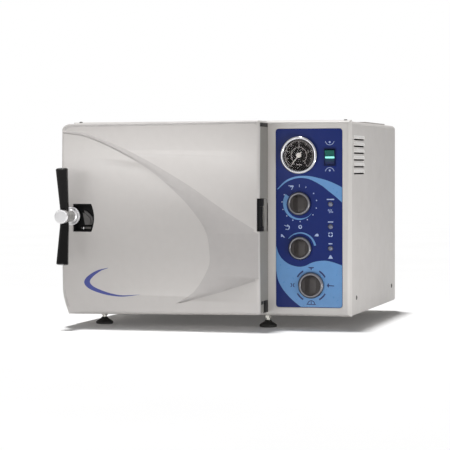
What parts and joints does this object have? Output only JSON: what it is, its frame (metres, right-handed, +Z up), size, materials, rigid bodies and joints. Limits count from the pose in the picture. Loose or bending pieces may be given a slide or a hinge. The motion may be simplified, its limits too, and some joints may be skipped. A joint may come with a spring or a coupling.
{
  "type": "benchtop autoclave",
  "caption": "Benchtop steam autoclave: round chamber with trays, hinged door with a T-handle, dials and a gauge on a blue panel.",
  "frame": {"origin": "under the middle of the bounding box, on the plane that the feet stand on", "axes": "+Z up, -Y towards the door and control panel, +X towards the control panel side"},
  "size_m": [0.51, 0.5662, 0.3672],
  "materials": {
    "cabinet_paint": "textured powder coat, warm light grey",
    "cover_plastic": "moulded satin plastic, warm light grey",
    "stainless": "brushed stainless steel",
    "chrome": "polished chrome plate",
    "steel": "zinc-plated steel",
    "brass": "machined brass",
    "copper": "bent copper tube",
    "black_grip": "moulded phenolic, satin black",
    "black_plastic": "black moulded plastic",
    "knob_plastic": "grey knob with a metallised skirt",
    "panel_blue": "printed polycarbonate overlay in two blues",
    "dial_black": "black printed dial",
    "needle_white": "white pointer",
    "clear_glass": "clear flat glass",
    "green_lens": "translucent green rocker",
    "lamp_lens": "translucent lamp lens",
    "silicone": "moulded silicone seal",
    "rubber": "black rubber",
    "insulation": "glass-fibre blanket",
    "reset_red": "red plastic"
  },
  "bodies": {
    "cabinet": {"base_pan": "steel", "front_frame": "cabinet_paint", "hood": "cabinet_paint", "rear_panel": "cabinet_paint", "foot_front_left": "rubber", "foot_front_right": "rubber", "foot_rear_left": "rubber", "foot_rear_right": "rubber", "chamber_vessel": "stainless", "chamber_flange": "stainless", "heater_band": "steel", "insulation_jacket": "insulation", "chamber_cradle": "steel", "tray_rack": "stainless", "water_reservoir": "stainless", "condenser_coil": "copper", "lid_hinge": "steel", "safety_valve": "brass", "drain_valve": "brass", "hinge_bracket": "cabinet_paint", "hinge_pin": "chrome", "latch_socket": "steel", "lock_bellows": "brass", "control_overlay": "panel_blue", "gauge_bezel": "chrome", "gauge_case": "dial_black", "gauge_lens": "clear_glass", "switch_housing": "black_plastic", "timer_body": "black_plastic", "thermostat_body": "black_plastic", "multiport_valve": "brass", "lamp_upper": "lamp_lens", "lamp_middle": "lamp_lens", "lamp_lower": "lamp_lens", "power_inlet": "black_plastic"},
    "door": {"door_cover": "cover_plastic", "latch_recess": "black_plastic", "door_bridge": "steel", "door_disc": "stainless", "door_gasket": "silicone", "door_centre_bolt": "chrome", "door_spring": "steel"},
    "closing_collar": {"closing_collar": "chrome"},
    "handle": {"closing_bolt": "steel", "handle_hub": "chrome", "upper_grip": "black_grip", "lower_grip": "black_grip"},
    "lock_pin": {"lock_pin": "steel"},
    "tray_lower": {"tray_lower": "stainless"},
    "tray_middle": {"tray_middle": "stainless"},
    "tray_upper": {"tray_upper": "stainless"},
    "reservoir_lid": {"reservoir_lid": "cabinet_paint"},
    "safety_ring": {"safety_valve_ring": "steel"},
    "drain_lever": {"drain_lever": "reset_red"},
    "gauge_needle": {"gauge_needle": "needle_white"},
    "power_rocker": {"power_rocker": "green_lens"},
    "timer_knob": {"timer_knob": "knob_plastic"},
    "thermostat_knob": {"thermostat_knob": "knob_plastic"},
    "valve_knob": {"valve_knob": "knob_plastic"},
    "reset_button": {"reset_button": "reset_red"}
  },
  "joints": [
    {"name": "door_hinge", "type": "hinge", "parent": "cabinet", "child": "door", "pos_m": [0.101, -0.2067, 0.1985], "axis": [0, 0, 1], "range_deg": [0, 115]},
    {"name": "collar_travel", "type": "slide", "parent": "door", "child": "closing_collar", "axis": [0, -1, 0], "range_m": [0, 0.006]},
    {"name": "handle_turn", "type": "hinge", "parent": "closing_collar", "child": "handle", "pos_m": [-0.2348, -0.1627, 0.197], "axis": [0, -1, 0], "range_deg": [0, 540]},
    {"name": "lock_pin_slide", "type": "slide", "parent": "cabinet", "child": "lock_pin", "axis": [0, -1, 0], "range_m": [0, 0.006], "stiffness_N_per_m": 300},
    {"name": "tray_lower_slide", "type": "slide", "parent": "cabinet", "child": "tray_lower", "axis": [0, -1, 0], "range_m": [0, 0.012]},
    {"name": "tray_middle_slide", "type": "slide", "parent": "cabinet", "child": "tray_middle", "axis": [0, -1, 0], "range_m": [0, 0.012]},
    {"name": "tray_upper_slide", "type": "slide", "parent": "cabinet", "child": "tray_upper", "axis": [0, -1, 0], "range_m": [0, 0.012]},
    {"name": "reservoir_lid_hinge", "type": "hinge", "parent": "cabinet", "child": "reservoir_lid", "pos_m": [0.17, 0.2413, 0.365], "axis": [-1, 0, 0], "range_deg": [0, 100]},
    {"name": "safety_ring_pull", "type": "slide", "parent": "cabinet", "child": "safety_ring", "axis": [0, 0, 1], "range_m": [0, 0.004], "stiffness_N_per_m": 800},
    {"name": "drain_lever_turn", "type": "hinge", "parent": "cabinet", "child": "drain_lever", "pos_m": [0.03, -0.1627, 0.047], "axis": [0, -1, 0], "range_deg": [0, 90]},
    {"name": "gauge_needle_turn", "type": "hinge", "parent": "cabinet", "child": "gauge_needle", "pos_m": [0.164, -0.1627, 0.303], "axis": [0, 1, 0], "range_deg": [0, 270], "stiffness_Nm_per_rad": 0.002},
    {"name": "power_rocker_tilt", "type": "hinge", "parent": "cabinet", "child": "power_rocker", "pos_m": [0.2184, -0.1607, 0.2995], "axis": [1, 0, 0], "range_deg": [0, 16]},
    {"name": "timer_knob_turn", "type": "hinge", "parent": "cabinet", "child": "timer_knob", "pos_m": [0.164, -0.1627, 0.2185], "axis": [0, 1, 0], "range_deg": [0, 300]},
    {"name": "thermostat_knob_turn", "type": "hinge", "parent": "cabinet", "child": "thermostat_knob", "pos_m": [0.1655, -0.1627, 0.1407], "axis": [0, 1, 0], "range_deg": [0, 300]},
    {"name": "valve_knob_turn", "type": "hinge", "parent": "cabinet", "child": "valve_knob", "pos_m": [0.185, -0.1627, 0.0759], "axis": [0, 1, 0], "range_deg": [0, 270]},
    {"name": "reset_button_press", "type": "slide", "parent": "cabinet", "child": "reset_button", "axis": [0, -1, 0], "range_m": [0, 0.003], "stiffness_N_per_m": 300}
  ],
  "couplings": [
    {"joint": "collar_travel", "follows": "handle_turn", "m_per_rad": 0.00063656}
  ]
}
